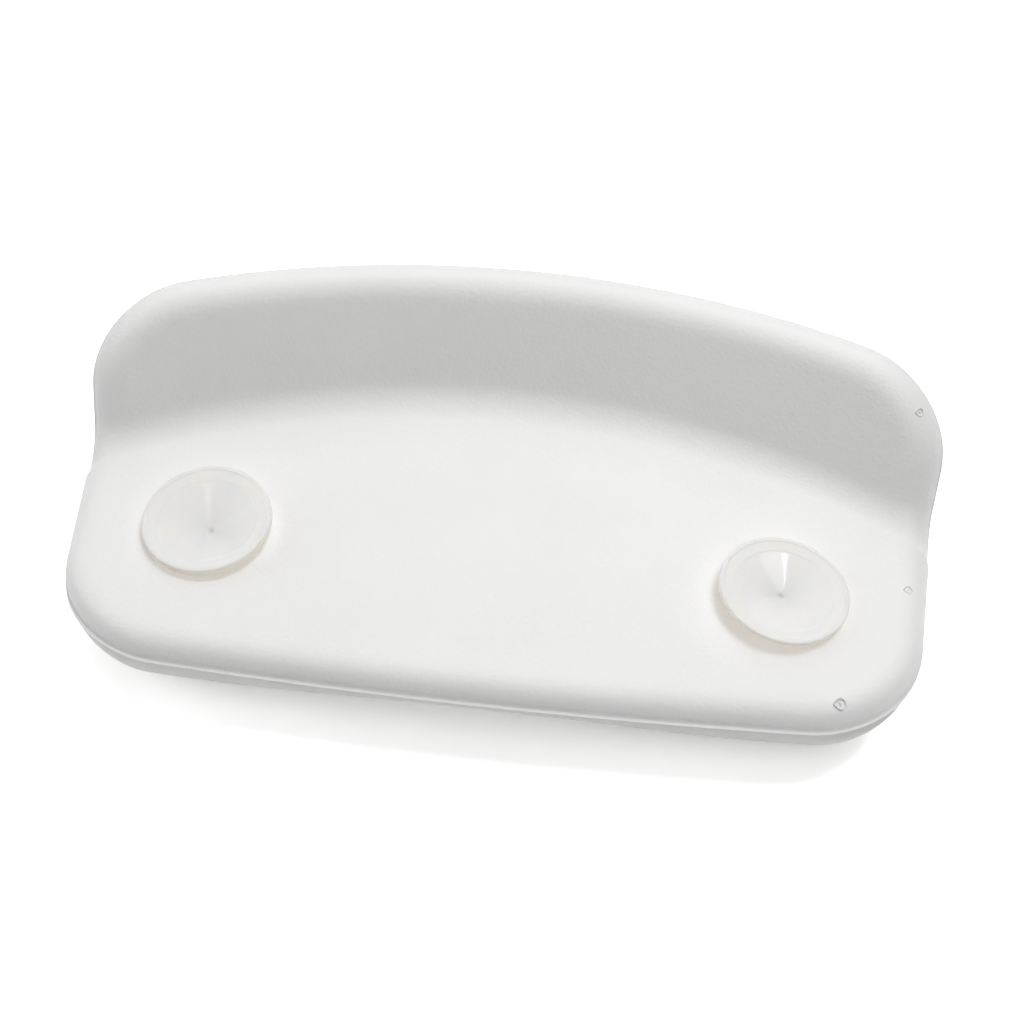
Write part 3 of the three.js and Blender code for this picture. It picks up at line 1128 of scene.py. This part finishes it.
@dataclass
class VentMarks:
    """Small rough rings left by the vents of the mould."""

    sheet: FoldedSheet
    ring_radius: float = 1.6
    ring_sides: int = 40
    bead_radius: float = 0.3
    bead_sides: int = 10
    dot_radius: float = 0.6
    dot_divisions: int = 3
    dot_flatness: float = 0.5
    crumble: float = 2.0
    crumble_size: float = 1.4
    probe: float = 0.05
    # The marks' finish is darker grey in fine blotches.
    finish: FoamSkin = FoamSkin("rough_vent_skin", (0.84, 0.835, 0.83), (0.60, 0.595, 0.59), cloud_mm=1.3)

    def build(self) -> None:
        """Sets a ring with a dot in it at each place, all as one piece."""
        spots = [self.spot(x, s) for x, s, _ in VENTS]
        tree = Tree("vent_marks")
        ring_radius = tree.value("Ring radius", "Float", self.ring_radius * MM)
        bead_radius = tree.value("Bead radius", "Float", self.bead_radius * MM)
        dot_radius = tree.value("Dot radius", "Float", self.dot_radius * MM)
        ring = tree.step("CurvePrimitiveCircle", {"Resolution": self.ring_sides, "Radius": ring_radius})
        bead = tree.step("CurvePrimitiveCircle", {"Resolution": self.bead_sides, "Radius": bead_radius})
        torus = tree.step("CurveToMesh", {"Curve": ring, "Profile Curve": bead})
        ball = tree.step("MeshIcoSphere", {"Radius": dot_radius, "Subdivisions": self.dot_divisions})
        dot = tree.step("Transform", {"Geometry": ball, "Scale": (1.0, 1.0, self.dot_flatness)})
        mark = tree.add("GeometryNodeJoinGeometry")
        for part in (torus, dot):
            tree.tree.links.new(part, mark.inputs["Geometry"])
        scale = tree.value("Crumble scale", "Float", 1.0 / (self.crumble_size * MM))
        crumble = tree.value("Crumble", "Float", self.crumble * MM)
        noise = tree.add("ShaderNodeTexNoise", {"Scale": scale, "Detail": 2.0}).outputs["Color"]
        swing = tree.out("ShaderNodeVectorMath", {0: noise, 1: (0.5, 0.5, 0.5)}, operation="SUBTRACT")
        offset = tree.out("ShaderNodeVectorMath", {"Vector": swing, "Scale": crumble}, operation="SCALE")
        rough = tree.step("SetPosition", {"Geometry": mark.outputs["Geometry"], "Offset": offset})
        inputs = {"Vector": tree.marked("out", "FLOAT_VECTOR")}
        turn = tree.out("FunctionNodeAlignRotationToVector", inputs, axis="Z")
        dots = tree.step("MeshToPoints", {"Mesh": tree.bare})
        share = tree.marked("share", "FLOAT")
        inputs = {"Points": dots, "Instance": rough, "Rotation": turn, "Scale": share}
        placed = tree.step("InstanceOnPoints", inputs)
        tree.finish(placed, self.finish.material())
        bare = Piece.wire("vent_marks", np.array([point for point, _ in spots]), False)
        sizes = np.array([size for _, _, size in VENTS])
        marks = {"out": np.array([out for _, out in spots]), "share": sizes}
        tree.grow(bare, marks).join_frame("pillow", "back_skin")

    def spot(self, x: float, s: float) -> tuple[np.ndarray, np.ndarray]:
        """Finds a place on the back face.

        Args:
            x: Along the pillow, in millimetres.
            s: Along the section, in millimetres.

        Returns:
            Point in metres, and the unit way out of the face there.
        """
        step = self.probe
        face = self.sheet.back_point
        out = np.cross(face(x + step, s) - face(x - step, s), face(x, s + step) - face(x, s - step))
        return face(x, s), out / np.linalg.norm(out)


def turned(profile: Profile, centre: Vector, sides: int) -> tuple[np.ndarray, Faces]:
    """Turns a closed profile about the Z axis.

    Args:
        profile: Radius and height of each point, in millimetres, from the axis up the outside and back to it.
        centre: Point that heights and radii are measured from.
        sides: Number of steps round the axis.

    Returns:
        Vertices in metres and faces.
    """
    angle = np.linspace(0.0, 2.0 * np.pi, sides, endpoint=False)
    points = [(0.0, 0.0, profile[0][1])]
    for radius, height in profile[1:-1]:
        points.extend((radius * math.cos(a), radius * math.sin(a), height) for a in angle)
    points.append((0.0, 0.0, profile[-1][1]))
    last = len(points) - 1
    rings = len(profile) - 2
    faces = []
    for k in range(sides):
        following = (k + 1) % sides
        faces.append((0, 1 + following, 1 + k))
        for ring in range(rings - 1):
            low = 1 + ring * sides
            faces.append((low + k, low + following, low + sides + following, low + sides + k))
        top = 1 + (rings - 1) * sides
        faces.append((top + k, top + following, last))
    return np.array(points) * MM + np.array(centre), faces


def toward(corner: np.ndarray, other: np.ndarray, radius: float) -> np.ndarray:
    """Point on the way from a corner to another point, at a radius but within a third of the way."""
    length = np.linalg.norm(other - corner)
    return corner + (other - corner) / length * min(radius, length / 3.0)


def softened(profile: Profile, radius: float, steps: int = 3) -> Profile:
    """Rounds the corners of a profile.

    Args:
        profile: Points of radius and height.
        radius: How far from a corner the rounding starts, at most a third of each side.
        steps: Number of new edges at each corner.

    Returns:
        The rounded profile, with the same ends.
    """
    kept = [profile[0]]
    for before, corner, after in zip(profile, profile[1:], profile[2:]):
        c = np.array(corner)
        start = toward(c, np.array(before), radius)
        end = toward(c, np.array(after), radius)
        for t in np.linspace(0.0, 1.0, steps + 1):
            kept.append(tuple((1 - t) ** 2 * start + 2 * t * (1 - t) * c + t**2 * end))
    kept.append(profile[-1])
    return kept


def shifted(profile: Profile, radius: float, height: float) -> Profile:
    """Moves a profile out by a radius and up by a height."""
    return [(radius + r, height + h) for r, h in profile]


@dataclass
class CupMount:
    """One suction cup and the socket that it clips into. Heights are from the flat back face."""

    end: End
    centre: Vector
    cup_radius: float
    rim: float
    hollow: float = 5.6
    wall: float = 1.7
    neck_radius: float = 4.5
    head_radius: float = 6.4
    head_bottom: float = -13.0
    head_top: float = -6.15
    head_chamfer: float = 0.8
    throat_radius: float = 4.86
    throat_top: float = -3.1
    throat_bottom: float = -5.7
    holder_radius: float = 8.5
    holder_top: float = -0.5
    holder_bottom: float = -15.7
    holder_wall: float = 1.5
    holder_chamfer: float = 0.8
    rib_height: float = 0.5
    rib_rise: float = 0.8
    rib_length: float = 1.2
    rib_places: tuple[float, ...] = (0.2, 0.5)
    collar: float = 2.0
    collar_taper: float = 0.4
    mouth_land: float = 0.4
    chamber_chamfer: float = 1.0
    bend_at: float = 0.77
    lip_share: float = 0.15
    bend_wall: float = 0.85
    lip_wall: float = 1.3
    lip_step: float = 1.1
    lip_width: float = 1.6
    lip_chamfer: float = 0.4
    cone_end: float = 1.6
    hub_gap: float = 0.3
    edge_band: float = 0.6
    edge_blend: float = 0.4
    edge_drop: float = 0.3
    pit_radius: float = 0.95
    pit_blend: float = 0.2
    cup_edge: float = 0.5
    cup_crease: float = 50.0
    socket_edge: float = 0.25
    socket_crease: float = 40.0
    sides: int = 128
    seat: tuple[float, float] = (0.0, 0.0)
    lean: tuple[float, float] = (0.0, 0.0)
    tilt: tuple[float, float] = (0.0, 0.0)

    def settled(self, points: np.ndarray) -> np.ndarray:
        """Lets the soft cup sit askew on its neck.

        Args:
            points: Vertices of the upright cup, in metres.

        Returns:
            Vertices of the cup shifted by seat at its apex and by lean at its rim, in millimetres, with the
            rim rising by tilt along X and Y.
        """
        local = (points - np.array(self.centre)) / MM
        apex = self.rim - self.hollow
        bent = smooth((local[:, 2] - self.throat_top) / (apex - self.throat_top))[:, None]
        high = np.clip((local[:, 2] - apex) / self.hollow, 0.0, 1.0)[:, None]
        shift = bent * mix(np.array(self.seat), np.array(self.lean), high)
        rise = bent[:, 0] * (local[:, :2] @ np.array(self.tilt))
        moved = local + np.column_stack([shift, rise])
        return moved * MM + np.array(self.centre)

    def marks(self, points: np.ndarray) -> dict[str, np.ndarray]:
        """Marks where colour is painted on the cup: the cut edge of its lip, partly as warm shade, and the
        hollow of its gate, as shade.

        Args:
            points: Vertices of the upright cup, in metres.

        Returns:
            How near each vertex lies to the cut edge and to the hollow of the gate, from 0 to 1: the weights
            of the warm edge colour and of the painted shade.
        """
        local = (points - np.array(self.centre)) / MM
        radius = np.hypot(local[:, 0], local[:, 1])
        near_edge = smooth((radius - self.cup_radius + self.edge_band) / self.edge_blend)
        under_rim = smooth((self.rim - local[:, 2]) / self.edge_drop)
        above = local[:, 2] > self.throat_top
        # Weight of the darker colour painted as shade in the gate's hollow.
        pit = smooth((self.pit_radius - radius) / self.pit_blend) * above
        return {"edge": near_edge * under_rim, "pit": pit}

    def cup_profile(self) -> Profile:
        """Section of the cup: mushroom head, neck, hub, lip with a flat land, cone and gate mark.

        Returns:
            Radius and height of each point, from the bottom of the head to the middle of the gate mark.
        """
        bend = self.bend_at * self.cup_radius
        bend_height = self.rim - self.lip_share * self.hollow
        apex = self.rim - self.hollow
        slope = (bend_height - apex) / bend
        hub = self.holder_radius - self.hub_gap
        head = self.head_radius
        under = self.rim - self.lip_wall * self.wall
        return [
            *((share * head, self.head_bottom + rise) for share, rise in HEAD_DOME),
            (head, self.head_top - self.head_chamfer),
            (head - self.head_chamfer, self.head_top),
            (self.neck_radius, self.head_top),
            *shifted(NECK_FLARE, self.neck_radius, self.throat_top),
            (hub, apex + slope * hub - self.wall),
            (bend, bend_height - self.bend_wall * self.wall),
            (self.cup_radius - self.lip_width, under),
            (self.cup_radius - self.lip_chamfer, under),
            (self.cup_radius, self.rim - self.lip_step * self.wall),
            *shifted(CUP_LAND, self.cup_radius, self.rim),
            *shifted(CONE_BEND, bend, bend_height),
            (self.cone_end, apex + slope * self.cone_end),
            *shifted(GATE_PIT, 0.0, apex),
        ]

    def holder_profile(self) -> Profile:
        """Section of the socket: ribbed outside, countersunk mouth, throat and chamber.

        Returns:
            Radius and height of each point, from under the bottom to the floor of the chamber.
        """
        rib = self.holder_radius
        body = rib - self.rib_height
        bottom = self.holder_bottom
        top = self.holder_top
        floor = bottom + self.holder_wall
        chamber = rib - self.holder_wall
        ribs = []
        for share in self.rib_places:
            low = mix(bottom, top, share)
            ribs += [(body, low), (rib, low + self.rib_rise), (body, low + self.rib_length)]
        return [
            (0.0, bottom),
            (body - self.holder_chamfer, bottom),
            (body, bottom + self.holder_chamfer),
            *ribs,
            (body, top - self.collar - self.collar_taper),
            (rib, top - self.collar),
            (rib, top),
            (rib - self.mouth_land, top),
            (self.throat_radius, self.throat_top),
            (self.throat_radius, self.throat_bottom),
            (chamber, self.throat_bottom),
            (chamber, floor + self.chamber_chamfer),
            (chamber - self.chamber_chamfer, floor),
            (0.0, floor),
        ]

    def build(self, vinyl: Material, plastic: Material) -> None:
        """Builds the cup and its socket.

        Args:
            vinyl: Material of the cup.
            plastic: Material of the socket.
        """
        name = self.end.value
        points, faces = turned(softened(self.cup_profile(), self.cup_edge), self.centre, self.sides)
        cup = Piece.solid(f"{name}_cup", self.settled(points), faces, vinyl).shade(self.cup_crease)
        mark_vertices(cup.object.data, self.marks(points))
        cup.join_frame(f"{name}_cup", "suction_cup", (f"{name}_suction_cup",))
        mesh = turned(softened(self.holder_profile(), self.socket_edge), self.centre, self.sides)
        holder = Piece.solid(f"{name}_socket", *mesh, plastic).shade(self.socket_crease)
        holder.join_frame(f"{name}_holder", "cup_holder", (f"{name}_cup_holder",))


@dataclass(frozen=True)
class Lamp:
    """A rectangular studio lamp that looks at a point."""

    name: str
    place: tuple[float, float, float]
    size: tuple[float, float]
    watts: float
    mirrored: bool = False
    target: tuple[float, float, float] = (0.0, 0.0, 0.04)

    def build(self) -> None:
        """Adds the lamp."""
        light = bpy.data.lights.new(self.name, "AREA")
        light.shape = "RECTANGLE"
        light.size, light.size_y = self.size
        light.energy = self.watts
        lamp = bpy.data.objects.new(self.name, light)
        lamp.visible_glossy = self.mirrored
        way = Vector(self.target) - Vector(self.place)
        lamp.matrix_world = Matrix.Translation(self.place) @ way.to_track_quat("-Z", "Y").to_matrix().to_4x4()
        bpy.context.scene.collection.objects.link(lamp)


@dataclass(frozen=True)
class PhotoCamera:
    """The camera of the photo, fitted to the outline of the pillow.

    Angles are in degrees. The offsets place the middle of the cup line in the camera's own axes, in
    millimetres, and the focal length is in pixels of the square picture.
    """

    pitch: float = 51.88
    yaw: float = -4.71
    roll: float = -2.20
    offset: tuple[float, float, float] = (-6.42, -17.80, -518.74)
    focal: float = 1500.0
    picture: float = 1024.0
    sensor: float = 36.0
    near: float = 0.01

    def build(self, middle: Vector) -> None:
        """Adds the camera and makes it the scene's.

        Args:
            middle: Middle of the cup line on the flat back face.
        """
        pitch, yaw, roll = (math.radians(a) for a in (self.pitch, self.yaw, self.roll))
        turn = Matrix.Rotation(roll, 3, "Z") @ Matrix.Rotation(pitch - 0.5 * math.pi, 3, "X")
        turn = turn @ Matrix.Rotation(yaw, 3, "Z")
        data = bpy.data.cameras.new("photo_camera")
        data.sensor_width = self.sensor
        data.lens = self.focal / self.picture * self.sensor
        data.clip_start = self.near
        camera = bpy.data.objects.new("photo_camera", data)
        back = turn.transposed()
        place = middle - back @ (Vector(self.offset) * MM)
        camera.matrix_world = Matrix.Translation(place) @ back.to_4x4()
        bpy.context.scene.collection.objects.link(camera)
        bpy.context.scene.camera = camera


@dataclass
class Studio:
    """White floor, soft light from above and all round, and the camera."""

    floor_size: float = 1.7
    floor: WhiteFloor = WhiteFloor()
    camera: PhotoCamera = PhotoCamera()
    lamps: tuple[Lamp, ...] = (
        Lamp("key_softbox", (0.36, 0.06, 1.55), (0.4, 0.4), 11.0),
        Lamp("high_back_softbox", (0.15, 0.786, 1.386), (1.2, 1.2), 6.5),
        Lamp("high_front_softbox", (0.40, -0.693, 1.386), (1.0, 1.0), 5.0),
        Lamp("left_softbox", (-1.45, 0.0, 0.676), (1.2, 1.2), 7.0, mirrored=True),
        Lamp("back_softbox", (-0.30, 1.42, 0.676), (1.2, 1.2), 5.4),
        Lamp("strip_light", (0.55, 0.264, 1.30), (0.035, 0.5), 0.32, mirrored=True),
        Lamp("faint_strip_light", (0.70, 0.26, 1.30), (0.16, 0.5), 0.45, mirrored=True),
        Lamp("left_strip_light", (-0.325, 0.09, 1.30), (0.05, 0.7), 0.19, mirrored=True),
    )

    def build(self, middle: Vector) -> None:
        """Sets up everything round the object.

        Args:
            middle: Middle of the cup line on the flat back face.
        """
        half = 0.5 * self.floor_size
        corners = np.array([(-half, -half, 0.0), (half, -half, 0.0), (half, half, 0.0), (-half, half, 0.0)])
        ground = Piece.solid("studio_floor", corners, [(0, 1, 2, 3)], self.floor.material())
        for lamp in self.lamps:
            lamp.build()
        bpy.context.scene.world = self.backdrop()
        self.camera.build(middle)
        bpy.context.scene.view_settings.view_transform = "Standard"

    @staticmethod
    def backdrop() -> bpy.types.World:
        """Builds the surroundings.

        Returns:
            A world that is white where the camera sees it, straight or through the cups, and lights nothing.
        """
        world = bpy.data.worlds.new("studio_world")
        world.use_nodes = True
        nodes = Nodes(world.node_tree)
        sky = nodes.tree.nodes["Background"]
        sky.inputs["Color"].default_value = (1.0, 1.0, 1.0, 1.0)
        nodes.tree.links.new(nodes.seen("Is Camera Ray", "Is Transmission Ray"), sky.inputs["Strength"])
        return world


def main() -> None:
    """Builds the dressed pillow and its studio."""
    logging.basicConfig(level=logging.INFO, format="%(message)s")
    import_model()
    cup_low, cup_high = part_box("left_suction_cup")
    skin_low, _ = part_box("back_skin")
    right_low, right_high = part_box("right_suction_cup")
    gap = FoldedSheet.half_gap * MM
    line_y = 0.5 * (cup_low.y + cup_high.y)
    sheet = FoldedSheet(Vector((0.0, line_y, skin_low.z - gap)))
    back_face = sheet.origin.z + sheet.back_depth * MM + gap
    spacing = 0.25 * (right_low.x + right_high.x - cup_low.x - cup_high.x)
    white = MouldedBody(sheet, spacing / MM).build()
    PartingFlash(sheet).build(white)
    VentMarks(sheet).build()
    vinyl = ClearVinyl().material()
    plastic = MouldedPlastic().material()
    radius = 0.5 * (cup_high.x - cup_low.x) / MM
    rim = (cup_high.z - back_face) / MM
    for end, x in ((End.LEFT, -spacing), (End.RIGHT, spacing)):
        centre = Vector((x, line_y, back_face))
        CupMount(end, centre, radius, rim, **ASKEW[end]).build(vinyl, plastic)
    Studio().build(Vector((0.0, line_y, back_face)))


if __name__ == "__main__":
    main()
